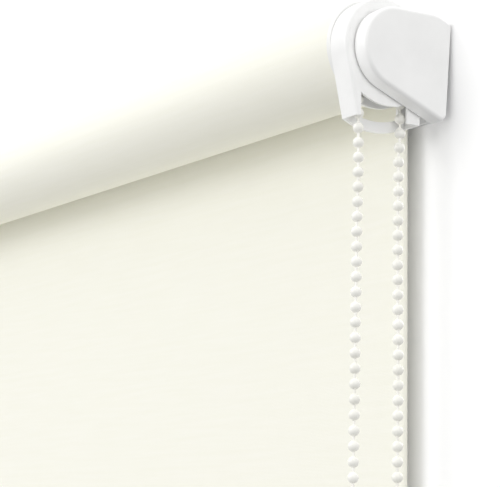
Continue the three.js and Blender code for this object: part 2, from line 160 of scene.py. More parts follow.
def per_metre(size_mm: float) -> float:
    """Texture scale that gives a pattern of this size in millimetres."""
    return 1.0 / (size_mm * MM)


@dataclass(frozen=True)
class Finish:
    """A material's name, its record slot, its colours and what its shader starts from."""

    name: str
    slot: str
    colour: str
    shade: str
    roughness: float

    def material(self) -> bpy.types.Material:
        """Build the material once and reuse it."""
        made = bpy.data.materials.get(self.name)
        if made is None:
            made = bpy.data.materials.new(self.name)
            made.use_nodes = True
            made.node_tree.nodes.clear()
            made.diffuse_color = linear(self.colour)
            shader = self.shader(made.node_tree)
            add_node(made.node_tree, "ShaderNodeOutputMaterial", links={"Surface": shader})
        return made

    def shader(self, tree: Tree) -> Socket:
        """Add the shader's nodes and return its output."""
        raise NotImplementedError

    def noise(self, tree: Tree, vector: Socket, size_mm: float, detail: float) -> Socket:
        """Add a noise of a real size and return its value."""
        settings = {"Scale": per_metre(size_mm), "Detail": detail, "Roughness": 0.55}
        return output_of(tree, "ShaderNodeTexNoise", settings, {"Vector": vector}, "Fac")

    def tint(self, tree: Tree, factor: Socket, low: float, high: float) -> Socket:
        """Mix the colour towards its shade where factor is high.

        Args:
            tree: the material's tree.
            factor: a pattern from 0 to 1.
            low: the pattern value that still shows the plain colour.
            high: the pattern value that shows the shade in full.

        Returns:
            The mixed colour.
        """
        limits = {"From Min": low, "From Max": high}
        share = output_of(tree, "ShaderNodeMapRange", limits, {"Value": factor})
        mix = {"data_type": "RGBA", 6: linear(self.colour), 7: linear(self.shade)}
        return output_of(tree, "ShaderNodeMix", mix, {0: share}, 2)

    def varied_roughness(self, tree: Tree, factor: Socket, spread: float) -> Socket:
        """Let the roughness wander by the given share either way."""
        limits = {
            "From Min": 0.3,
            "From Max": 0.7,
            "To Min": self.roughness * (1 - spread),
            "To Max": self.roughness * (1 + spread),
        }
        return output_of(tree, "ShaderNodeMapRange", limits, {"Value": factor})

    def surface(
        self,
        tree: Tree,
        look: dict,
        pattern: Socket,
        tint_range: tuple[float, float],
        spread: float,
        relief: tuple[Socket, float, float],
    ) -> Socket:
        """The Principled surface, coloured and polished unevenly by a pattern.

        Args:
            tree: the material's tree.
            look: the surface's own settings.
            pattern: what the colour and the roughness follow.
            tint_range: the pattern values of the plain colour and of the full shade.
            spread: how far the roughness wanders, as a share.
            relief: a height pattern, the bump's strength and its depth in millimetres.

        Returns:
            The surface's output.
        """
        height, strength, depth_mm = relief
        depth = {"Strength": strength, "Distance": depth_mm * MM}
        links = {
            "Base Color": self.tint(tree, pattern, *tint_range),
            "Roughness": self.varied_roughness(tree, pattern, spread),
            "Normal": output_of(tree, "ShaderNodeBump", depth, {"Height": height}),
        }
        return output_of(tree, "ShaderNodeBsdfPrincipled", look, links)


def object_coordinates(tree: Tree) -> Socket:
    """Object coordinates, which are metres in the shared frame."""
    return output_of(tree, "ShaderNodeTexCoord", output="Object")


@dataclass(frozen=True)
class MouldedPlastic(Finish):
    """Injection-moulded plastic: a satin skin with the fine grain of a spark-eroded mould."""

    grain_mm: float = 0.5
    grain_depth_mm: float = 0.012
    coat: float = 0.0

    def shader(self, tree: Tree) -> Socket:
        """Faint flow marks in the colour, wandering gloss and a fine grain."""
        where = object_coordinates(tree)
        flow = self.noise(tree, where, 14.0, 2.0)
        grain = self.noise(tree, where, self.grain_mm, 3.0)
        look = {"IOR": 1.53, "Coat Weight": self.coat, "Coat Roughness": 0.12}
        relief = (grain, 0.55, self.grain_depth_mm)
        return self.surface(tree, look, flow, (0.35, 0.75), 0.12, relief)


@dataclass(frozen=True)
class WovenCloth(Finish):
    """Coated plain weave: matt, with close threads that only show near by and faint slubs."""

    thread_mm: float = 0.6
    thread_depth_mm: float = 0.05
    slub_mm: float = 38.0

    def shader(self, tree: Tree) -> Socket:
        """Over-and-under threads from the cloth's own map, slubs and a dry sheen."""
        cloth = output_of(tree, "ShaderNodeUVMap", {"uv_map": "UVMap"})
        across, along = add_node(tree, "ShaderNodeSeparateXYZ", links={0: cloth}).outputs[:2]
        ridges = [self.ridge(tree, axis) for axis in (across, along)]
        size = {"Scale": per_metre(self.thread_mm)}
        over = output_of(tree, "ShaderNodeTexChecker", size, {"Vector": cloth}, "Fac")
        crossing = {0: over, 2: ridges[0], 3: ridges[1]}
        height = output_of(tree, "ShaderNodeMix", {"data_type": "FLOAT"}, crossing)
        look = {
            "IOR": 1.45,
            "Sheen Weight": 0.12,
            "Sheen Roughness": 0.6,
            "Specular IOR Level": 0.25,
        }
        relief = (height, 0.5, self.thread_depth_mm)
        return self.surface(tree, look, self.slubs(tree, cloth), (0.3, 0.8), 0.05, relief)

    def ridge(self, tree: Tree, distance: Socket) -> Socket:
        """One thread's rounded back, repeated every thread width."""
        angle = calculate(tree, "MULTIPLY", distance, math.pi * per_metre(self.thread_mm))
        return calculate(tree, "ABSOLUTE", calculate(tree, "SINE", angle))

    def slubs(self, tree: Tree, cloth: Socket) -> Socket:
        """Long faint streaks along the weft, where a thread is a little thicker."""
        stretch = {"Scale": (1.0, 18.0, 1.0)}
        drawn = output_of(tree, "ShaderNodeMapping", stretch, {"Vector": cloth})
        return self.noise(tree, drawn, self.slub_mm, 4.0)


@dataclass(frozen=True)
class PowderCoat(Finish):
    """Powder-coated steel: even colour under the soft orange peel of the stoved powder."""

    peel_mm: float = 1.1
    peel_depth_mm: float = 0.03

    def shader(self, tree: Tree) -> Socket:
        """Orange peel in the surface and a slight change of gloss."""
        where = object_coordinates(tree)
        peel = self.noise(tree, where, self.peel_mm, 1.5)
        cloud = self.noise(tree, where, 9.0, 2.0)
        relief = (peel, 0.5, self.peel_depth_mm)
        return self.surface(tree, {"IOR": 1.5}, cloud, (0.35, 0.75), 0.1, relief)


@dataclass(frozen=True)
class WorkedMetal(Finish):
    """Bare metal with the fine lines of the die or wheel that shaped it, drawn out along X."""

    line_mm: float = 0.12
    draw: float = 60.0
    line_depth_mm: float = 0.01

    def shader(self, tree: Tree) -> Socket:
        """Lines along X in the height and the gloss."""
        stretch = {"Scale": (1.0 / self.draw, 1.0, 1.0)}
        where = object_coordinates(tree)
        drawn = output_of(tree, "ShaderNodeMapping", stretch, {"Vector": where})
        lines = self.noise(tree, drawn, self.line_mm, 3.0)
        relief = (lines, 0.4, self.line_depth_mm)
        return self.surface(tree, {"Metallic": 1.0}, lines, (0.35, 0.7), 0.3, relief)


# Covers and guard: white ABS from a polished mould, so nearly smooth and softly shining.
WHITE_ABS = MouldedPlastic("White ABS, moulded satin", "white_abs", "f4f4f3", "efefee", 0.34)
# Plugs and sprocket: acetal, a little more waxy and less bright than the ABS.
WHITE_ACETAL = MouldedPlastic("White acetal, moulded", "white_acetal", "f1f1ef", "e9e9e7", 0.42)
# Ball chain: polyester beads moulded on to their cord, glossy with a warm white.
CHAIN_WHITE = MouldedPlastic(
    "White polyester ball chain", "chain_plastic", "f3f2ec", "ebeae2", 0.28, 0.8, 0.01, 0.25
)
# Spindle and bush: glass-filled acetal, grey and drier.
GREY_ACETAL = MouldedPlastic("Grey glass-filled acetal", "grey_acetal", "c3c5c7", "b5b7ba", 0.5)
# Bracket plates: white powder coat on folded steel.
COATED_STEEL = PowderCoat("White powder-coated steel", "coated_steel", "eceded", "e4e5e6", 0.42)
# Springs, clip and screw: drawn wire and bright zinc.
SPRING_STEEL = WorkedMetal("Drawn spring steel", "spring_steel", "8b8e92", "74777c", 0.3)
# Idle pin: turned steel under bright nickel.
NICKEL = WorkedMetal("Nickel-plated pin", "plated_pin", "c9c6bf", "b4b1aa", 0.2, 0.08, 6.0, 0.004)
# Tube and bottom bar: mill-finish extrusion with die lines along its length.
MILL_ALUMINIUM = WorkedMetal("Mill-finish aluminium", "mill_aluminium", "c9cbce", "b6b8bb", 0.36)
# Cloth: cream blackout polyester, coated so that it hangs flat and hardly shines.
CREAM_CLOTH = WovenCloth("Cream coated blackout cloth", "cream_cloth", "f1f0e6", "efeee2", 0.88)
# Bonding tape: thin amber film that holds the cloth to the tube.
BOND_TAPE = MouldedPlastic("Double-sided bonding tape", "bonding_tape", "e3dcc4", "d8d0b4", 0.5)


# ----------------------------------------
# Meshes
# ----------------------------------------


def in_scene(name: str, data: bpy.types.ID) -> Piece:
    """Put a mesh, lamp or camera into the scene, at the origin."""
    made = bpy.data.objects.new(name, data)
    bpy.context.scene.collection.objects.link(made)
    return made


def smooth(mesh: bpy.types.Mesh, sharp_degrees: float) -> None:
    """Shade a mesh smooth, but for the edges that turn by more than this."""
    mesh.shade_smooth()
    mesh.set_sharp_from_angle(angle=math.radians(sharp_degrees))


def make_object(
    name: str,
    points: Sequence[Point3],
    faces: Sequence[Sequence[int]],
    sharp_degrees: float = SHARP_DEGREES,
    recalculate: bool = True,
) -> Piece:
    """Make a mesh object at the origin, smooth but for its sharp edges.

    Args:
        name: the piece's name.
        points: corners in metres, in the shared frame.
        faces: corner numbers of each face.
        sharp_degrees: edges that turn by more than this stay sharp.
        recalculate: merge doubles and turn the faces outwards.

    Returns:
        The object, linked to the scene.
    """
    mesh = bpy.data.meshes.new(name)
    mesh.from_pydata([Vector(p) for p in points], [], [list(f) for f in faces])
    if recalculate:
        shape = bmesh.new()
        shape.from_mesh(mesh)
        bmesh.ops.remove_doubles(shape, verts=shape.verts, dist=1e-7)
        bmesh.ops.recalc_face_normals(shape, faces=shape.faces)
        shape.to_mesh(mesh)
        shape.free()
    mesh.update()
    smooth(mesh, sharp_degrees)
    return in_scene(name, mesh)


def add_modifier(piece: Piece, kind: str, settings: dict) -> bpy.types.Modifier:
    """Add a modifier with its settings."""
    modifier = piece.modifiers.new(kind.title(), kind)
    for key, value in settings.items():
        setattr(modifier, key, value)
    return modifier


def soften_edges(piece: Piece, width_mm: float, segments: int = 2) -> None:
    """Round every sharp edge of a piece a little."""
    settings = {
        "width": width_mm * MM,
        "segments": segments,
        "limit_method": "ANGLE",
        "angle_limit": math.radians(SHARP_DEGREES),
        "harden_normals": True,
        "use_clamp_overlap": True,
    }
    add_modifier(piece, "BEVEL", settings)


def flatten_modifiers(piece: Piece) -> None:
    """Turn a piece into the plain mesh that its modifiers make."""
    graph = bpy.context.evaluated_depsgraph_get()
    plain = bpy.data.meshes.new_from_object(piece.evaluated_get(graph))
    piece.modifiers.clear()
    piece.data = plain


def moulded_shell(piece: Piece, wall_mm: float, outward: float) -> Piece:
    """Give an open shell its wall, inwards, and round its edges.

    Args:
        piece: the shell, with one large face across X.
        wall_mm: thickness of the wall.
        outward: +1 or -1, the way along X that the large face looks.

    Returns:
        The same piece.
    """
    face = max(piece.data.polygons, key=lambda polygon: abs(polygon.normal.x) * polygon.area)
    if face.normal.x * outward < 0:
        piece.data.flip_normals()
    add_modifier(piece, "SOLIDIFY", {"thickness": wall_mm * MM, "offset": -1.0})
    soften_edges(piece, 0.3)
    flatten_modifiers(piece)
    return piece


def refined_node(node: str, width_mm: float) -> Piece:
    """Copy a CAD node, merge its loose triangles and soften its edges.

    Args:
        node: the CAD node's name.
        width_mm: how far each edge is rounded.

    Returns:
        The copy, which stands for the node.
    """
    shape = bmesh.new()
    shape.from_mesh(frame["nodes"][node].data)
    bmesh.ops.remove_doubles(shape, verts=shape.verts, dist=2e-6)
    bmesh.ops.dissolve_limit(
        shape, angle_limit=math.radians(1), verts=shape.verts, edges=shape.edges
    )
    mesh = bpy.data.meshes.new(f"{node}_finished")
    shape.to_mesh(mesh)
    shape.free()
    smooth(mesh, SHARP_DEGREES)
    made = in_scene(mesh.name, mesh)
    soften_edges(made, width_mm)
    return made


def dress(piece: Piece, finish: Finish, body: str, nodes: Iterable[str] = ()) -> Piece:
    """Give a piece its finish, the body it moves with and the CAD nodes it stands for.

    Args:
        piece: the finished piece.
        finish: its finish.
        body: the CAD body it rides on.
        nodes: the CAD nodes it replaces.

    Returns:
        The same piece.
    """
    piece.data.materials.clear()
    piece.data.materials.append(finish.material())
    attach(piece, body)
    if nodes:
        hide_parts(*nodes)
    LOG.info("%s on %s, %s", piece.name, body, finish.name)
    return piece


def dress_refined(node: str, width_mm: float, finish: Finish, body: str) -> None:
    """Dress a copy of a CAD node whose edges are rounded by this width."""
    dress(refined_node(node, width_mm), finish, body, [node])


def dress_node(node: str, finish: Finish) -> None:
    """Give a CAD node that keeps its own shape a better material."""
    piece = frame["nodes"][node]
    piece.data.materials.clear()
    piece.data.materials.append(finish.material())
    LOG.info("%s keeps its CAD shape, %s", node, finish.name)


def ring_faces(rings: int, count: int, closed: bool) -> list[list[int]]:
    """Quads between rings of points that follow one another.

    Args:
        rings: how many rings there are.
        count: points in each ring.
        closed: whether a ring's last point joins its first.

    Returns:
        The faces.
    """
    steps = count if closed else count - 1
    faces = []
    for k in range(rings - 1):
        for i in range(steps):
            j = (i + 1) % count
            faces.append([k * count + i, k * count + j, (k + 1) * count + j, (k + 1) * count + i])
    return faces


def arc(centre: Point2, radius: float, start: float, end: float, steps: int) -> Path2:
    """Points on an arc from one angle to another, both ends included."""
    return [
        (
            centre[0] + radius * math.cos(start + (end - start) * i / steps),
            centre[1] + radius * math.sin(start + (end - start) * i / steps),
        )
        for i in range(steps + 1)
    ]


def rounded_corner(
    before: Point2, corner: Point2, after: Point2, radius: float, steps: int
) -> Path2:
    """Points that round the corner of a path.

    Args:
        before: the point that the path comes from.
        corner: the sharp corner.
        after: the point that the path goes to.
        radius: the rounding.
        steps: how many steps the rounding has.

    Returns:
        The points that replace the corner.
    """
    middle = Vector(corner)
    into = (Vector(before) - middle).normalized()
    out = (Vector(after) - middle).normalized()
    reach = radius / math.tan(into.angle(out) / 2)
    first, last = middle + into * reach, middle + out * reach
    points = []
    for i in range(steps + 1):
        t = i / steps
        point = first * (1 - t) ** 2 + middle * (2 * t * (1 - t)) + last * t**2
        points.append((point.x, point.y))
    return points


def tangent_angle(centre: Point2, radius: float, point: Point2, side: int) -> float:
    """Where a line from a point touches a circle, on the side given by +1 or -1."""
    away = Vector(point) - Vector(centre)
    return math.atan2(away.y, away.x) + side * math.acos(radius / away.length)


def fillet_stations(x0: float, x1: float, radius: float, steps: int) -> list[Point2]:
    """Places along X and the inset at each, for a band whose far edge is rounded.

    Args:
        x0: the open edge.
        x1: the plane of the face.
        radius: the rounding between band and face.
        steps: how many steps the rounding has.

    Returns:
        (x, inset) pairs, the last a support loop just inside the face.
    """
    turn = 1 if x1 > x0 else -1
    stations = [(x0, 0.0), (x1 - turn * radius * 1.25, 0.0)]
    for i in range(steps + 1):
        angle = math.pi / 2 * i / steps
        x = x1 - turn * radius * (1 - math.sin(angle))
        stations.append((x, radius * (1 - math.cos(angle))))
    stations.append((x1, radius * 1.2))
    return stations


def band_with_face(
    path_at: Callable[[float], Path2], stations: Sequence[Point2], mouth: Path2
) -> tuple[list[Point3], list[list[int]]]:
    """A band along an open path, closed by a flat face at its far end.

    Args:
        path_at: the path for an inset, always with the same number of points.
        stations: (x, inset) pairs from the open edge to the face.
        mouth: points that close the face from the path's last point back to its first.

    Returns:
        Points and faces.
    """
    rings = [[(x, y, z) for y, z in path_at(inset)] for x, inset in stations]
    count = len(rings[0])
    points = [p for ring in rings for p in ring]
    faces = ring_faces(len(rings), count, closed=False)
    x_face = stations[-1][0]
    first = len(points)
    points += [(x_face, y, z) for y, z in mouth]
    outline = list(range((len(rings) - 1) * count, len(rings) * count))
    outline += list(range(first, first + len(mouth)))
    flat = [Vector((points[i][1], points[i][2], 0.0)) for i in outline]
    faces += [[outline[i] for i in triangle] for triangle in tessellate_polygon([flat])]
    return points, faces


def lathe(
    name: str, profile: Sequence[Point2], axis: Point2, segments: int, sharp: float = SHARP_DEGREES
) -> Piece:
    """Spin a closed profile of (x, radius) points in metres about an axis along X."""
    points = []
    for i in range(segments + 1):
        angle = 2 * math.pi * i / segments
        y, z = math.cos(angle), math.sin(angle)
        points += [(x, axis[0] + r * y, axis[1] + r * z) for x, r in profile]
    return make_object(name, points, ring_faces(segments + 1, len(profile), True), sharp)


def plate(name: str, outline: Path2, holes: Sequence[Path2], x0: float, x1: float) -> Piece:
    """A flat plate in the YZ plane, from x0 to x1, with holes through it."""
    loops = [outline, *holes]
    flat = [[Vector((y, z, 0.0)) for y, z in loop] for loop in loops]
    total = sum(len(loop) for loop in loops)
    points = [(x, y, z) for x in (x0, x1) for loop in loops for y, z in loop]
    caps = [list(t) for t in tessellate_polygon(flat)]
    faces = caps + [[i + total for i in t] for t in caps]
    start = 0
    for loop in loops:
        count = len(loop)
        for i in range(count):
            j = (i + 1) % count
            faces.append([start + i, start + j, total + start + j, total + start + i])
        start += count
    return make_object(name, points, faces)


# ----------------------------------------
# Geometry Nodes
# ----------------------------------------


@dataclass
class NodeShape:
    """A Geometry Nodes tree with named inputs, and the plain mesh that it makes."""

    name: str
    tree: Tree = field(init=False)
    inputs: bpy.types.Node = field(init=False)
    sockets: dict[str, str] = field(init=False, default_factory=dict)

    def __post_init__(self) -> None:
        """Start an empty tree with its geometry output."""
        self.tree = bpy.data.node_groups.new(self.name, "GeometryNodeTree")
        self.tree.interface.new_socket(
            "Geometry", in_out="OUTPUT", socket_type="NodeSocketGeometry"
        )
        self.inputs = add_node(self.tree, "NodeGroupInput")

    def declare(self, names: dict[str, str]) -> None:
        """Args:
            names: input name to its kind, such as Float, Int, Geometry or Material.
        """
        for name, kind in names.items():
            made = self.tree.interface.new_socket(
                name, in_out="INPUT", socket_type=f"NodeSocket{kind}"
            )
            self.sockets[name] = made.identifier

    def given(self, name: str) -> Socket:
        """The output of the group input with this name."""
        return self.inputs.outputs[name]

    def add(
        self,
        kind: str,
        settings: dict | None = None,
        links: dict | None = None,
        output: int | str = 0,
    ) -> Socket:
        """Add a node to the tree and return one of its outputs."""
        return output_of(self.tree, kind, settings, links, output)

    def finish(self, *geometry: Socket) -> None:
        """Join the parts, realise the instances, set the material and end the tree."""
        joined = add_node(self.tree, "GeometryNodeJoinGeometry")
        for part in geometry:
            self.tree.links.new(part, joined.inputs[0])
        realised = self.add("GeometryNodeRealizeInstances", links={0: joined.outputs[0]})
        finish = {"Geometry": realised, "Material": self.given("Finish")}
        painted = self.add("GeometryNodeSetMaterial", links=finish)
        add_node(self.tree, "NodeGroupOutput", links={0: painted})

    def build(
        self, name: str, base: bpy.types.Mesh | None, values: dict, sharp: float = 40.0
    ) -> Piece:
        """Run the tree once and keep its result as a plain mesh.

        Args:
            name: the piece's name.
            base: the mesh that the tree starts from, or None where it needs none.
            values: input name to value.
            sharp: edges that turn by more than this many degrees stay sharp.

        Returns:
            The piece, with no modifier left on it.
        """
        made = in_scene(name, base or bpy.data.meshes.new(name))
        modifier = made.modifiers.new(self.name, "NODES")
        modifier.node_group = self.tree
        for key, value in values.items():
            modifier[self.sockets[key]] = value
        bpy.context.view_layer.update()
        flatten_modifiers(made)
        made.data.name = name
        smooth(made.data, sharp)
        return made


def chain_tree() -> NodeShape:
    """Beads at an even pitch on a thin string, along the mesh line that is given."""
    shape = NodeShape("Beads on a string")
    shape.declare({"Route": "Geometry", "Pitch": "Float", "Bead Radius": "Float"})
    shape.declare({"String Radius": "Float", "Finish": "Material"})
    pitch = shape.given("Pitch")
    route = shape.add("GeometryNodeMeshToCurve", links={0: shape.given("Route")})
    half = calculate(shape.tree, "MULTIPLY", pitch, 0.5)
    length = shape.add("GeometryNodeCurveLength", links={0: route})
    end = calculate(shape.tree, "SUBTRACT", length, half)
    inner = shape.add("GeometryNodeTrimCurve", {"mode": "LENGTH"}, {0: route, 4: half, 5: end})
    spacing = {"Curve": inner, "Length": pitch}
    spaced = shape.add("GeometryNodeResampleCurve", {"mode": "LENGTH"}, spacing)
    size = {"Radius": shape.given("Bead Radius")}
    bead = shape.add("GeometryNodeMeshUVSphere", {"Segments": 16, "Rings": 10}, size)
    tangent = {"Vector": shape.add("GeometryNodeInputTangent")}
    turn = shape.add("FunctionNodeAlignRotationToVector", {"axis": "Z"}, tangent)
    strung = {"Points": spaced, "Instance": bead, "Rotation": turn}
    beads = shape.add("GeometryNodeInstanceOnPoints", links=strung)
    size = {"Radius": shape.given("String Radius")}
    section = shape.add("GeometryNodeCurvePrimitiveCircle", {"Resolution": 8}, size)
    core = {"Curve": route, "Profile Curve": section}
    string = shape.add("GeometryNodeCurveToMesh", {"Fill Caps": True}, core)
    shape.finish(beads, string)
    return shape


def spiral_tree() -> NodeShape:
    """A sheet wound about X, from its outer end on the wall side, over the top and inwards."""
    shape = NodeShape("Sheet wound in a spiral")
    sizes = ("Turns", "Outer Radius", "Inner Radius", "Width", "Thickness", "Map Start")
    shape.declare({name: "Float" for name in sizes})
    shape.declare({"Centre": "Vector", "Finish": "Material"})
    tree = shape.tree
    winding = {
        "Rotations": shape.given("Turns"),
        "Start Radius": shape.given("Outer Radius"),
        "End Radius": shape.given("Inner Radius"),
    }
    flat = {"Resolution": 128, "Height": 0.0}
    spiral = shape.add("GeometryNodeCurveSpiral", flat, winding)
    upright = shape.add("GeometryNodeSetCurveNormal", {"mode": "Z_UP"}, {"Curve": spiral})
    capture = add_node(tree, "GeometryNodeCaptureAttribute", links={0: upright})
    capture.capture_items.new("FLOAT", "Wound")
    length = shape.add("GeometryNodeSplineParameter", output="Length")
    tree.links.new(length, capture.inputs[1])
    edges = {"Width": shape.given("Thickness"), "Height": shape.given("Width")}
    section = shape.add("GeometryNodeCurvePrimitiveQuadrilateral", links=edges)
    swept = {"Curve": capture.outputs[0], "Profile Curve": section}
    wound = shape.add("GeometryNodeCurveToMesh", {"Fill Caps": True}, swept)
    quarter = math.pi / 2
    lying = shape.add(
        "GeometryNodeTransform", {"Rotation": (0.0, quarter, 0.0)}, {"Geometry": wound}
    )
    place = {"Geometry": lying, "Translation": shape.given("Centre")}
    placed = shape.add("GeometryNodeTransform", {"Rotation": (quarter, 0.0, 0.0)}, place)
    position = shape.add("GeometryNodeInputPosition")
    across = shape.add("ShaderNodeSeparateXYZ", links={0: position})
    along = calculate(tree, "SUBTRACT", shape.given("Map Start"), capture.outputs[1])
    cloth_map = shape.add("ShaderNodeCombineXYZ", links={"X": across, "Y": along})
    layer = {"data_type": "FLOAT2", "domain": "CORNER", "Name": "UVMap"}
    values = {"Geometry": placed, "Value": cloth_map}
    shape.finish(shape.add("GeometryNodeStoreNamedAttribute", layer, values))
    return shape


def stitch_tree() -> NodeShape:
    """A straight row of lockstitches along X."""
    shape = NodeShape("Row of stitches")
    shape.declare({"Count": "Int", "Pitch": "Float", "Stitch Length": "Float"})
    shape.declare({"Thread Radius": "Float", "Start": "Vector", "Finish": "Material"})
    thread = shape.given("Thread Radius")
    line = {
        "Count": shape.given("Count"),
        "Start Location": shape.given("Start"),
        "Offset": shape.add("ShaderNodeCombineXYZ", links={"X": shape.given("Pitch")}),
    }
    row = shape.add("GeometryNodeMeshLine", links=line)
    round_thread = {"Segments": 8, "Rings": 6}
    stitch = shape.add("GeometryNodeMeshUVSphere", round_thread, {"Radius": thread})
    stretch = calculate(shape.tree, "DIVIDE", shape.given("Stitch Length"), thread)
    halved = calculate(shape.tree, "MULTIPLY", stretch, 0.5)
    scale = shape.add("ShaderNodeCombineXYZ", {"Y": 1.0, "Z": 1.0}, {"X": halved})
    sewn = {"Points": row, "Instance": stitch, "Scale": scale}
    shape.finish(shape.add("GeometryNodeInstanceOnPoints", links=sewn))
    return shape


# ----------------------------------------
# The blind's own layout, read from the frame
# ----------------------------------------


@dataclass(frozen=True)
class Layout:
    """Places that several sub-assemblies share, in metres."""

    axis: Point2
    roll_radius: float
    cloth_x: Point2
    seam_z: float
    chain_x: float
    lift: float

    @staticmethod
    def from_frame() -> Layout:
        """Read the layout from the CAD nodes and joints."""
        low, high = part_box("cloth_roll")
        sheet_low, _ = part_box("cloth_sheet")
        chain_low, chain_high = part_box("ball_chain_loop")
        lift = next(j for j in frame["joints"] if j["name"] == "bar_lift")["range_m"][1]
        return Layout(
            axis=((low[1] + high[1]) / 2, (low[2] + high[2]) / 2),
            roll_radius=(high[1] - low[1]) / 2,
            cloth_x=(low[0], high[0]),
            seam_z=sheet_low[2],
            chain_x=(chain_low[0] + chain_high[0]) / 2,
            lift=lift,
        )

    def about_axis(self, y_mm: float, z_mm: float) -> Point2:
        """A point given in millimetres from the roller axis."""
        return (self.axis[0] + y_mm * MM, self.axis[1] + z_mm * MM)


class End(Enum):
    """Which end of the blind a bracket belongs to."""

    CONTROL = "control"
    IDLE = "idle"


# ----------------------------------------
# Cloth
# ----------------------------------------


@dataclass
class Cloth:
    """The sheet of cloth: wound on the tube, hanging, and folded round the bottom bar."""

    layout: Layout
    thickness_mm: float = 0.42
    inner_radius_mm: float = 19.5
    edge_curl_mm: float = 0.5
    curl_reach_mm: float = 6.0
    ripple_mm: float = 0.35
    hem_allowance_mm: float = 4.0
    stitch_pitch_mm: float = 3.2
    stitch_mm: float = 2.7
    thread_mm: float = 0.32

    @property
    def thickness(self) -> float:
        """Cloth thickness in metres."""
        return self.thickness_mm * MM

    @property
    def hang_y(self) -> float:
        """Middle of the hanging cloth, where it leaves the roll."""
        return self.layout.axis[0] + self.layout.roll_radius + self.thickness / 2

    @property
    def width(self) -> float:
        """Width of the cloth in metres."""
        return self.layout.cloth_x[1] - self.layout.cloth_x[0]

    def build(self) -> None:
        """Build and dress the cloth."""
        tree = spiral_tree()
        lap_radius = self.layout.roll_radius + self.thickness / 2
        lap = self.wound(tree, "cloth_outer_turn", 1.0, lap_radius)
        dress(lap, CREAM_CLOTH, "mount_set")
        outer = self.layout.roll_radius - self.thickness / 2 - 0.04 * MM
        turns = (outer - self.inner_radius_mm * MM) / self.thickness
        roll = self.wound(tree, "cloth_wound", turns, outer)
        dress(roll, CREAM_CLOTH, "roller", ["cloth_roll"])
        sheet = self.hanging()
        hem = self.hem()
        stitches = self.stitches()
        flat = (self.width, self.hem_length())

    def wound(self, tree: NodeShape, name: str, turns: float, outer: float) -> Piece:
        """Wind turns of cloth on to the roll.

        Args:
            tree: the spiral tree.
            name: the piece's name.
            turns: how many turns.
            outer: radius of the outermost turn's middle.

        Returns:
            The wound piece.
        """
        values = {
            "Turns": turns,
            "Outer Radius": outer,
            "Inner Radius": outer - turns * self.thickness,
            "Width": self.width,
            "Thickness": self.thickness,
            "Centre": (sum(self.layout.cloth_x) / 2, *self.layout.axis),
            "Map Start": self.layout.axis[1],
            "Finish": CREAM_CLOTH.material(),
        }
        return tree.build(name, None, values)

    def hanging(self) -> Piece:
        """The hanging cloth, nearly flat, with a slight curl along its cut edges."""
        top, foot, steps = self.layout.axis[1], self.layout.seam_z, 120
        heights = [top + (foot - top) * i / steps for i in range(steps + 1)]
        rows = [(self.hang_y, z, z) for z in heights]
        piece = self.woven("cloth_hanging", 160, rows, self.sway)
        dress(piece, CREAM_CLOTH, "mount_set", ["cloth_sheet"])
        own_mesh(piece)
        return piece

    def sway(self, x: float, down: float) -> float:
        """How far the hanging cloth stands off its plane.

        Args:
            x: place across the cloth.
            down: 0 at the roll and 1 at the hem.

        Returns:
            The offset along Y in metres.
        """
        free = math.sin(math.pi * down) ** 0.7
        phase = (x - self.layout.cloth_x[0]) / self.width
        ripple = math.sin(5.1 * math.pi * phase + 1.7 * down) * math.cos(2.2 * math.pi * phase)
        edge = min(x - self.layout.cloth_x[0], self.layout.cloth_x[1] - x)
        curl = math.exp(-edge / (self.curl_reach_mm * MM))
        return free * MM * (self.ripple_mm * ripple + self.edge_curl_mm * curl)

    def woven(
        self,
        name: str,
        columns: int,
        rows: Sequence[Point3],
        sway: Callable[[float, float], float] | None = None,
    ) -> Piece:
        """A sheet as wide as the cloth, with its thickness and the cloth's own map.

        Args:
            name: the piece's name.
            columns: how many columns it has.
            rows: (y, z, place along the cloth) of each row, in metres.
            sway: offset along Y for a place along X and a share of the rows.

        Returns:
            The sheet.
        """
        far = self.layout.cloth_x[0]
        points, cloth_map = [], []
        for i, (y, z, run) in enumerate(rows):
            for k in range(columns + 1):
                x = far + self.width * k / columns
                off = sway(x, i / (len(rows) - 1)) if sway else 0.0
                points.append((x, y + off, z))
                cloth_map.append((x, run))
        faces = ring_faces(len(rows), columns + 1, False)
        piece = make_object(name, points, faces, recalculate=False)
        layer = piece.data.uv_layers.new(name="UVMap")
        for loop in piece.data.loops:
            layer.data[loop.index].uv = cloth_map[loop.vertex_index]
        add_modifier(piece, "SOLIDIFY", {"thickness": self.thickness, "offset": 0.0})
        flatten_modifiers(piece)
        return piece

    def hem_path(self) -> Path2:
        """Middle line of the folded hem: down the front, round the bar and up behind the sheet."""
        low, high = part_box("hem_pocket")
        bar_y = (low[1] + high[1]) / 2
        reach = (high[1] - low[1]) / 2 - self.thickness / 2
        foot = low[2] + self.thickness / 2 + reach
        head = high[2] - self.thickness / 2 - reach
        seam, front = self.layout.seam_z, self.hang_y
        back = front + self.thickness + 0.05 * MM
        leave = math.acos((front - bar_y) / reach)
        arrive = math.acos((back - bar_y) / reach)
        path = [(front, seam), *arc((bar_y, head), reach, leave, math.pi, 12)]
        path += arc((bar_y, foot), reach, math.pi, 2 * math.pi, 24)
        path += [*arc((bar_y, head), reach, 0.0, arrive, 12), (back, seam)]
        path.append((back, seam + self.hem_allowance_mm * MM))
        return path

    def hem_length(self) -> float:
        """Cut length of the cloth in the hem."""
        path = self.hem_path()
        return sum(math.dist(a, b) for a, b in zip(path, path[1:]))

    def hem(self) -> Piece:
        """The pocket of cloth round the bottom bar."""
        path = self.hem_path()
        rows, run = [], self.layout.seam_z
        for i, (y, z) in enumerate(path):
            run -= math.dist(path[i - 1], path[i]) if i else 0.0
            rows.append((y, z, run))
        return dress(self.woven("cloth_hem", 60, rows), CREAM_CLOTH, "bar", ["hem_pocket"])

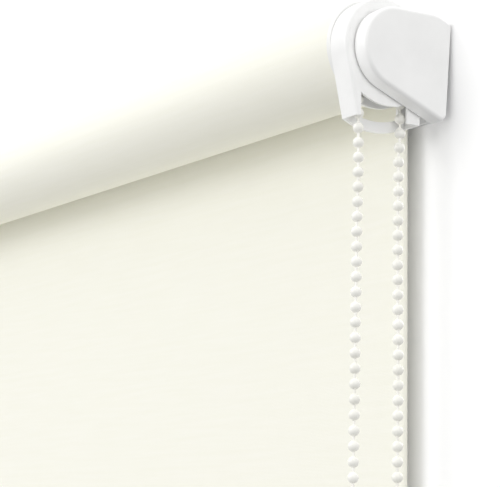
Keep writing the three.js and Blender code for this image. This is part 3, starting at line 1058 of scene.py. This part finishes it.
    def stitches(self) -> list[Piece]:
        """Rows of stitches on the front and the back of the seam."""
        tree = stitch_tree()
        count = int(self.width / (self.stitch_pitch_mm * MM)) - 1
        z = self.layout.seam_z + self.hem_allowance_mm * MM / 2
        spare = self.width - (count - 1) * self.stitch_pitch_mm * MM
        rows = []
        front = self.hang_y - self.thickness / 2
        faces = {"front": front, "back": front + self.thickness * 2.12}
        for side, y in faces.items():
            values = {
                "Count": count,
                "Pitch": self.stitch_pitch_mm * MM,
                "Stitch Length": self.stitch_mm * MM,
                "Thread Radius": self.thread_mm * MM / 2,
                "Start": (self.layout.cloth_x[0] + spare / 2, y, z),
                "Finish": CREAM_CLOTH.material(),
            }
            row = tree.build(f"hem_stitches_{side}", None, values)
            rows.append(dress(row, CREAM_CLOTH, "bar"))
        return rows


# ----------------------------------------
# Ball chain
# ----------------------------------------


@dataclass
class BallChain:
    """The endless ball chain: over the sprocket, and its free loop in front of the cloth's edge."""

    layout: Layout
    bead_mm: float = 4.5
    pitch_mm: float = 6.0
    string_mm: float = 1.1
    pockets: int = 11
    phase_mm: float = 1.9
    held_beads: int = 5
    turn_mm: float = -587.8
    clip_bore_mm: float = 2.6
    clip_slit_degrees: float = 28.0
    front_drift_mm: tuple[float, ...] = (0.0, 0.1, -0.5, -0.9, -1.5, -1.6, -1.2, -0.7, -0.3, 0.0)
    rear_drift_mm: tuple[float, ...] = (0.0, -0.9, -1.2, -0.8, -1.1, -0.7, -0.9, -0.4, -0.1, 0.0)

    @property
    def radius_mm(self) -> float:
        """Radius of the chain's line on the sprocket."""
        return self.pitch_mm / 2 / math.sin(math.pi / self.pockets)

    def build(self) -> None:
        """Build and dress the chain and its connector."""
        tree = chain_tree()
        held = self.along(tree, "ball_chain_on_sprocket", self.held_route())
        dress(held, CHAIN_WHITE, "mount_set", ["ball_chain_drive"])
        route = self.free_route()
        free = self.along(tree, "ball_chain_free_loop", route)
        stretches = [f"ball_chain_{stretch}" for stretch in ("front", "loop", "rear")]
        dress(free, CHAIN_WHITE, "mount_set", stretches)
        clip = self.connector()
        dress(clip, CHAIN_WHITE, "chain_clip", ["chain_connector"])

    @property
    def rear_top_mm(self) -> float:
        """Where the rear run leaves the guard, half a pitch below its last held bead."""
        return -(self.held_beads + 0.5) * self.pitch_mm + self.phase_mm

    @property
    def front_top_mm(self) -> float:
        """The same for the front run, whose beads sit at other heights."""
        on_top = math.ceil(self.pockets / 2) * self.pitch_mm
        lead = on_top - self.pockets / 2 * self.pitch_mm + self.phase_mm
        return -(self.held_beads - 0.5) * self.pitch_mm - lead

    def held_route(self) -> list[Point3]:
        """From the front mouth of the guard, over the sprocket, to its rear mouth."""
        radius = self.radius_mm
        flat = [(-radius, self.front_top_mm)]
        flat += [(-p[0], p[1]) for p in arc((0.0, 0.0), radius, 0.0, math.pi, 36)]
        flat.append((radius, self.rear_top_mm))
        return [(self.layout.chain_x, *self.layout.about_axis(y, z)) for y, z in flat]

    def free_route(self) -> list[Point3]:
        """The free loop, from the front mouth down, round and up to the rear mouth.

        The two runs hang a little out of line, as a chain that has been pulled does.
        """
        radius = self.radius_mm
        front = self.run(-radius, self.front_top_mm, self.front_drift_mm)
        rear = self.run(radius, self.rear_top_mm, self.rear_drift_mm)
        loop = [(-p[0], p[1]) for p in arc((0.0, self.turn_mm), radius, 0.0, -math.pi, 24)]
        flat = self.fine(front) + loop[1:-1] + self.fine(rear)[::-1]
        return [(self.layout.chain_x, *self.layout.about_axis(y, z)) for y, z in flat]

    def run(self, side: float, top: float, drift: Sequence[float]) -> Path2:
        """One straight run from its mouth down to the loop, with its drift off the plumb line."""
        last = len(drift) - 1
        return [
            (side + off, top + (self.turn_mm - top) * (i / last) ** 1.6)
            for i, off in enumerate(drift)
        ]

    @staticmethod
    def fine(points: Path2) -> Path2:
        """A smooth line through the points of a run, in short steps."""
        steps = 8
        line = []
        for (y0, z0), (y1, z1) in zip(points, points[1:]):
            for i in range(steps):
                t = i / steps
                smooth = t * t * (3 - 2 * t)
                line.append((y0 + (y1 - y0) * smooth, z0 + (z1 - z0) * t))
        return [*line, points[-1]]

    def along(self, tree: NodeShape, name: str, route: Sequence[Point3]) -> Piece:
        """String beads along a route."""
        line = bpy.data.meshes.new(f"{name}_route")
        line.from_pydata(list(route), [(i, i + 1) for i in range(len(route) - 1)], [])
        values = {
            "Pitch": self.pitch_mm * MM,
            "Bead Radius": self.bead_mm * MM / 2,
            "String Radius": self.string_mm * MM / 2,
            "Finish": CHAIN_WHITE.material(),
        }
        return tree.build(name, line, values)

    def connector(self) -> Piece:
        """The clip that closes the chain: a barrel with a waist, open along one side."""
        low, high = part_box("chain_connector")
        centre = ((low[0] + high[0]) / 2, (low[1] + high[1]) / 2)
        height = high[2] - low[2]
        outer = (high[1] - low[1]) / 2
        inner = self.clip_bore_mm * MM
        shoulders = [(0.0, 0.86), (0.07, 0.97), (0.14, 1.0), (0.42, 1.0), (0.47, 0.93)]
        rising = [(t, share * outer) for t, share in shoulders]
        profile = rising + [(1 - t, r) for t, r in reversed(rising)]
        profile += [(1.0, inner), (0.0, inner)]
        gap = math.radians(self.clip_slit_degrees / 2)
        steps = 40
        points = []
        for i in range(steps + 1):
            angle = gap + (2 * math.pi - 2 * gap) * i / steps
            x, y = math.cos(angle), math.sin(angle)
            points += [
                (centre[0] + r * x, centre[1] + r * y, low[2] + t * height) for t, r in profile
            ]
        count = len(profile)
        faces = ring_faces(steps + 1, count, True)
        faces += [list(range(count)), list(range(steps * count, (steps + 1) * count))]
        piece = make_object("chain_connector_clip", points, faces)
        soften_edges(piece, 0.15)
        return piece


# ----------------------------------------
# Brackets
# ----------------------------------------


@dataclass
class Bracket:
    """A wall bracket: folded steel plate under a moulded cover with a round nose."""

    layout: Layout
    end: End
    nose_mm: float = 17.0
    nose_drop_mm: float = 3.0
    fillet_mm: float = 1.6
    wall_mm: float = 1.4
    rear_top_mm: Point2 = (-0.4, 20.6)
    crest_mm: Point2 = (-7.5, 23.2)
    heel_mm: Point2 = (-4.6, -21.2)
    rear_foot_mm: Point2 = (-3.0, -19.6)
    crest_round_mm: float = 14.0
    heel_round_mm: float = 1.6

    def build(self) -> None:
        """Build and dress the cover and the plate."""
        cover = self.cover()
        dress(cover, WHITE_ABS, "mount_set", [f"{self.end.value}_bracket_cover"])
        name = f"{self.end.value}_bracket_plate"
        dress_refined(name, 0.25, COATED_STEEL, "mount_set")

    def path_at(self, inset: float) -> Path2:
        """Side view of the cover, from its top rear corner round the nose to its heel."""
        centre = self.layout.about_axis(0.0, -self.nose_drop_mm)
        radius = self.nose_mm * MM - inset
        top, crest = self.corner(self.rear_top_mm, -inset), self.corner(self.crest_mm, -inset)
        heel, foot = self.corner(self.heel_mm, inset), self.corner(self.rear_foot_mm, inset)
        start = tangent_angle(centre, radius, crest, 1)
        end = tangent_angle(centre, radius, heel, -1) + 2 * math.pi
        nose = arc(centre, radius, start, end, 72)
        path = [top, *rounded_corner(top, crest, nose[0], self.crest_round_mm * MM, 8), *nose]
        path += rounded_corner(nose[-1], heel, foot, self.heel_round_mm * MM, 6)
        return [*path, foot]

    @staticmethod
    def corner(place: Point2, rise: float) -> Point2:
        """A corner given in millimetres, raised by the inset."""
        return (place[0] * MM, place[1] * MM + rise)

    def cover(self) -> Piece:
        """The moulded cover, open to the plate and to the wall."""
        low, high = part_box(f"{self.end.value}_bracket_cover")
        x_open, x_face = (low[0], high[0]) if self.end is End.CONTROL else (high[0], low[0])
        stations = fillet_stations(x_open, x_face, self.fillet_mm * MM, 7)
        points, faces = band_with_face(self.path_at, stations, [])
        piece = make_object(f"{self.end.value}_bracket_moulding", points, faces)
        return moulded_shell(piece, self.wall_mm, 1.0 if self.end is End.CONTROL else -1.0)


@dataclass
class ChainGuard:
    """The housing round the sprocket, with its two skirts and the mouth between them."""

    layout: Layout
    radius_mm: float = 21.0
    drop_mm: float = 1.5
    front_mm: float = -14.9
    rear_mm: float = 17.0
    foot_mm: float = -31.0
    wall_mm: float = 1.2
    fillet_mm: float = 1.3
    mouth_mm: float = 25.3
    mouth_y_mm: Point2 = (-13.2, 10.3)
    window_mm: Point2 = (24.5, 30.0)
    window_y_mm: Point2 = (-10.8, 12.6)
    lip_mm: float = 34.5
    bore_mm: float = 9.6

    def build(self) -> None:
        """Build and dress the shell and the back plate."""
        dress(self.shell(), WHITE_ABS, "mount_set", ["chain_guard_shell"])
        dress(self.back(), WHITE_ABS, "mount_set", ["chain_guard_back"])

    def path_at(self, inset: float) -> Path2:
        """Side view of the guard, from the rear foot over the top to the front foot."""
        centre = self.layout.about_axis(0.0, -self.drop_mm)
        radius = self.radius_mm * MM - inset
        rear = self.layout.about_axis(self.rear_mm - inset / MM, self.foot_mm)
        front = self.layout.about_axis(self.front_mm + inset / MM, self.foot_mm)
        start = tangent_angle(centre, radius, rear, 1)
        end = tangent_angle(centre, radius, front, -1) + 2 * math.pi
        return [rear, *arc(centre, radius, start, end, 88), front]

    def shell(self) -> Piece:
        """Band and outer face, with the mouth cut up into the face."""
        x_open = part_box("chain_guard_back")[1][0] + 0.02 * MM
        x_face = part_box("chain_guard_shell")[1][0]
        stations = fillet_stations(x_open, x_face, self.fillet_mm * MM, 7)
        front_y, rear_y = self.mouth_y_mm
        arch = self.arc_between(self.mouth_mm, front_y, rear_y, 28)
        mouth = [self.layout.about_axis(front_y, self.foot_mm), *arch]
        mouth.append(self.layout.about_axis(rear_y, self.foot_mm))
        points, faces = band_with_face(self.path_at, stations, mouth)
        piece = make_object("chain_guard_moulding", points, faces)
        return moulded_shell(piece, self.wall_mm, 1.0)

    def arc_between(self, radius: float, y0: float, y1: float, steps: int) -> Path2:
        """Points on the lower side of a circle about the roller axis, between two Y places."""
        start = math.pi + math.acos(-y0 / radius)
        end = 2 * math.pi - math.acos(y1 / radius)
        return [
            self.layout.about_axis(radius * math.cos(a), radius * math.sin(a))
            for a in (start + (end - start) * i / steps for i in range(steps + 1))
        ]

    def back(self) -> Piece:
        """The plate next to the roll, with its window and its curved lip."""
        low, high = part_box("chain_guard_back")
        reach = math.sqrt(self.lip_mm**2 - self.foot_mm**2)
        lip = self.arc_between(self.lip_mm, -reach, reach, 28)
        outline = [*self.path_at(0.0), *lip]
        y0, y1 = self.window_y_mm
        upper = self.arc_between(self.window_mm[0], y0, y1, 20)
        lower = self.arc_between(self.window_mm[1], y0, y1, 20)
        window = [*upper, *reversed(lower)]
        hole = arc(self.layout.axis, self.bore_mm * MM, 0.0, 2 * math.pi, 48)[:-1]
        piece = plate("chain_guard_back_moulding", outline, [window, hole], low[0], high[0])
        soften_edges(piece, 0.35, 3)
        flatten_modifiers(piece)
        return piece


# ----------------------------------------
# Clutch, idle end and bottom bar
# ----------------------------------------


@dataclass
class TubePlug:
    """A ribbed plug that grips the tube, with a round flange against the roll's end."""

    layout: Layout
    node: str
    end: End
    edge_mm: float = 0.4
    proud_mm: float = 0.5
    rim_depth_mm: float = 3.0
    clear_mm: float = 0.04

    def build(self) -> None:
        """Dress a refined copy of the plug and give its flange a smooth, rounded rim."""
        dress_refined(self.node, 0.2, WHITE_ACETAL, "roller")
        dress(self.rim(), WHITE_ACETAL, "roller")

    def rim(self) -> Piece:
        """The flange's rim, flush with the cloth and close to the roll's end."""
        low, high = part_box(self.node)
        cloth_far, cloth_near = self.layout.cloth_x
        control = self.end is End.CONTROL
        towards_roll = -1 if control else 1
        outside = (high[0] if control else low[0]) - towards_roll * self.clear_mm * MM
        inside = (cloth_near if control else cloth_far) - towards_roll * self.clear_mm * MM
        radius = (high[1] - low[1]) / 2 + self.proud_mm * MM
        edge, inner = self.edge_mm * MM, radius - self.rim_depth_mm * MM
        steps = 6
        profile = [(outside, inner)]
        for i in range(steps + 1):
            angle = math.pi / 2 * i / steps
            along = outside + towards_roll * edge * (1 - math.cos(angle))
            profile.append((along, radius - edge * (1 - math.sin(angle))))
        profile += [(inside, radius), (inside, inner)]
        return lathe(f"{self.node}_rim", profile, self.layout.axis, 144, 40.0)


@dataclass
class Clutch:
    """The drive inside the control end: spindle, springs, sprocket and crown."""

    layout: Layout

    def build(self) -> None:
        """Dress the clutch's pieces."""
        TubePlug(self.layout, "drive_crown", End.CONTROL).build()
        dress_refined("chain_sprocket", 0.12, WHITE_ACETAL, "roller")
        dress_node("clutch_spindle", GREY_ACETAL)
        for node in ("wrap_spring_outer", "wrap_spring_inner", "spindle_clip", "spindle_screw"):
            dress_node(node, SPRING_STEEL)


@dataclass
class IdleEnd:
    """The sprung pin end of the roller."""

    layout: Layout

    def build(self) -> None:
        """Dress the idle end's pieces."""
        TubePlug(self.layout, "idle_end_plug", End.IDLE).build()
        dress_node("idle_pin_spring", SPRING_STEEL)
        dress_refined("idle_pin", 0.2, NICKEL, "idle_pin")
        dress_refined("idle_pin_bush", 0.2, GREY_ACETAL, "mount_set")


@dataclass
class Roller:
    """The aluminium tube and the tape that holds the cloth to it."""

    def build(self) -> None:
        """Dress the tube and the tape."""
        dress_node("roller_tube", MILL_ALUMINIUM)
        dress_node("cloth_bond_tape", BOND_TAPE)


@dataclass
class BottomBar:
    """The bar in the hem and the caps on its ends."""

    rim_mm: float = 0.5
    clear_mm: float = 0.05

    def build(self) -> None:
        """Dress the bar and build its caps."""
        dress_node("bottom_bar", MILL_ALUMINIUM)
        for end in End:
            dress(self.cap(end.value), WHITE_ABS, "bar", [f"bar_cap_{end.value}"])

    def cap(self, side: str) -> Piece:
        """An oval cap with a rounded rim, from its outer end to the cloth's edge; the tongue that
        sits in the bar is not built.
        """
        low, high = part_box(f"bar_cap_{side}")
        cloth_low, cloth_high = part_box("hem_pocket")
        plate_x = (low[0], cloth_low[0] - self.clear_mm * MM)
        if side == End.CONTROL.value:
            plate_x = (cloth_high[0] + self.clear_mm * MM, high[0])
        middle, half = (low[1] + high[1]) / 2, (high[1] - low[1]) / 2
        outline = arc((middle, high[2] - half), half, 0.0, math.pi, 20)
        outline += arc((middle, low[2] + half), half, math.pi, 2 * math.pi, 20)
        piece = plate(f"bar_cap_{side}_moulding", outline, [], *plate_x)
        soften_edges(piece, self.rim_mm, 3)
        flatten_modifiers(piece)
        return piece


# ----------------------------------------
# Studio
# ----------------------------------------


@dataclass
class Studio:
    """Plain wall and floor, soft light and the camera."""

    layout: Layout
    bearing_degrees: float = 56.15
    elevation_degrees: float = -9.91
    roll_degrees: float = 1.014
    eye_mm: Point3 = (525.9, -438.4, -188.6)
    lens_mm: float = 122.2
    sensor_mm: float = 36.0
    clip_range: Point2 = (0.02, 50.0)
    wall_size: Point2 = (5.0, 3.4)
    wall_gap_mm: float = 0.4
    floor_below: float = 0.3
    floor_reach: float = 6.0

    def build(self) -> None:
        """Set the stage, the lights and the camera."""
        self.stage()
        self.lights()
        self.camera()

    def stage_plane(self, name: str, corners: Sequence[Point3]) -> None:
        """A large plain white plane that isn't part of the blind.

        It is clear from behind, and to light on its way to what is seen first, so that the blind's
        back is lit in the views from there; light that has bounced before is stopped by it.

        Args:
            name: the plane's name.
            corners: its four corners, in metres.
        """
        piece = make_object(name, corners, [[0, 1, 2, 3]], recalculate=False)
        material = bpy.data.materials.new(name)
        material.use_nodes = True
        tree = material.node_tree
        tree.nodes.clear()
        white = {"Base Color": linear("ffffff"), "Roughness": 0.9}
        paint = output_of(tree, "ShaderNodeBsdfPrincipled", white)
        clear = output_of(tree, "ShaderNodeBsdfTransparent")
        passed = output_of(tree, "ShaderNodeNewGeometry", output="Backfacing")
        path = add_node(tree, "ShaderNodeLightPath").outputs
        limits = {"Is Shadow Ray": 0.5, "Is Diffuse Ray": 1.5, "Is Glossy Ray": 1.5}
        for kind, bounces in limits.items():
            early = calculate(tree, "LESS_THAN", path["Ray Depth"], bounces)
            both = calculate(tree, "MULTIPLY", path[kind], early)
            passed = calculate(tree, "MAXIMUM", passed, both)
        shown = add_node(tree, "ShaderNodeMixShader", links={0: passed, 1: paint, 2: clear})
        add_node(tree, "ShaderNodeOutputMaterial", links={"Surface": shown.outputs[0]})
        piece.data.materials.append(material)

    def stage(self) -> None:
        """The wall that the brackets sit on, and the floor on both sides of it."""
        half, height = self.wall_size[0] / 2, self.wall_size[1]
        low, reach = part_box("hem_pocket")[0][2] - self.floor_below, self.floor_reach
        y, top = self.wall_gap_mm * MM, low + height
        wall = [(-half, y, low), (half, y, low), (half, y, top), (-half, y, top)]
        self.stage_plane("wall", wall)
        around = [(-reach, -reach), (reach, -reach), (reach, reach), (-reach, reach)]
        self.stage_plane("floor", [(x, y, low) for x, y in around])

    def light(self, name: str, place: Point3, size: float, power: float, aim: Point3) -> None:
        """A square soft light that looks at a point."""
        data = bpy.data.lights.new(name, "AREA")
        data.size = size
        data.energy = power
        lamp = in_scene(name, data)
        lamp.location = place
        lamp.rotation_euler = (Vector(aim) - Vector(place)).to_track_quat("-Z", "Y").to_euler()

    def lights(self) -> None:
        """A broad key in front, fills beside and behind, and a pale world that is darker below."""
        head = (-0.1, 0.0, -0.1)
        self.light("key", (-1.0, -2.3, 0.8), 1.3, 17.0, head)
        self.light("side", (2.4, -0.5, 0.5), 1.2, 5.0, head)
        self.light("back", (-0.8, 2.3, 0.8), 1.3, 12.0, head)
        world = bpy.data.worlds.new("pale world")
        world.use_nodes = True
        tree = world.node_tree
        tree.nodes.clear()
        where = output_of(tree, "ShaderNodeTexCoord", output="Generated")
        height = output_of(tree, "ShaderNodeSeparateXYZ", links={0: where}, output="Z")
        limits = {"From Min": -1.0, "From Max": 1.0, "To Min": 0.38, "To Max": 1.4}
        strength = output_of(tree, "ShaderNodeMapRange", limits, {"Value": height})
        white = {"Color": linear("ffffff")}
        sky = output_of(tree, "ShaderNodeBackground", white, {"Strength": strength})
        add_node(tree, "ShaderNodeOutputWorld", links={"Surface": sky})
        bpy.context.scene.world = world
        bpy.context.scene.view_settings.view_transform = "Standard"

    def camera(self) -> None:
        """The camera, close to the control end and a little below it."""
        bearing = math.radians(self.bearing_degrees)
        elevation = math.radians(-self.elevation_degrees)
        forward = Vector(
            (
                -math.sin(bearing) * math.cos(elevation),
                math.cos(bearing) * math.cos(elevation),
                math.sin(elevation),
            )
        )
        right = Vector((math.cos(bearing), math.sin(bearing), 0.0))
        up = right.cross(forward)
        tilt = math.radians(self.roll_degrees)
        right_tilted = right * math.cos(tilt) + up * math.sin(tilt)
        up_tilted = up * math.cos(tilt) - right * math.sin(tilt)
        data = bpy.data.cameras.new("camera")
        data.lens = self.lens_mm
        data.sensor_width = self.sensor_mm
        data.clip_start, data.clip_end = self.clip_range
        camera = in_scene("camera", data)
        turn = Matrix((right_tilted, up_tilted, -forward)).transposed()
        camera.matrix_world = Matrix.Translation(Vector(self.eye_mm) * MM) @ turn.to_4x4()
        bpy.context.scene.camera = camera


def main() -> None:
    """Build the blind in order, then the studio round it."""
    logging.basicConfig(level=logging.INFO, format="%(message)s")
    layout = Layout.from_frame()
    Studio(layout).build()
    assemblies = [
        BallChain(layout),
        Cloth(layout),
        Roller(),
        Bracket(layout, End.CONTROL),
        Bracket(layout, End.IDLE),
        ChainGuard(layout),
        Clutch(layout),
        IdleEnd(layout),
        BottomBar(),
    ]
    for assembly in assemblies:
        LOG.info("Building %s", type(assembly).__name__)
        assembly.build()


if __name__ == "__main__":
    main()
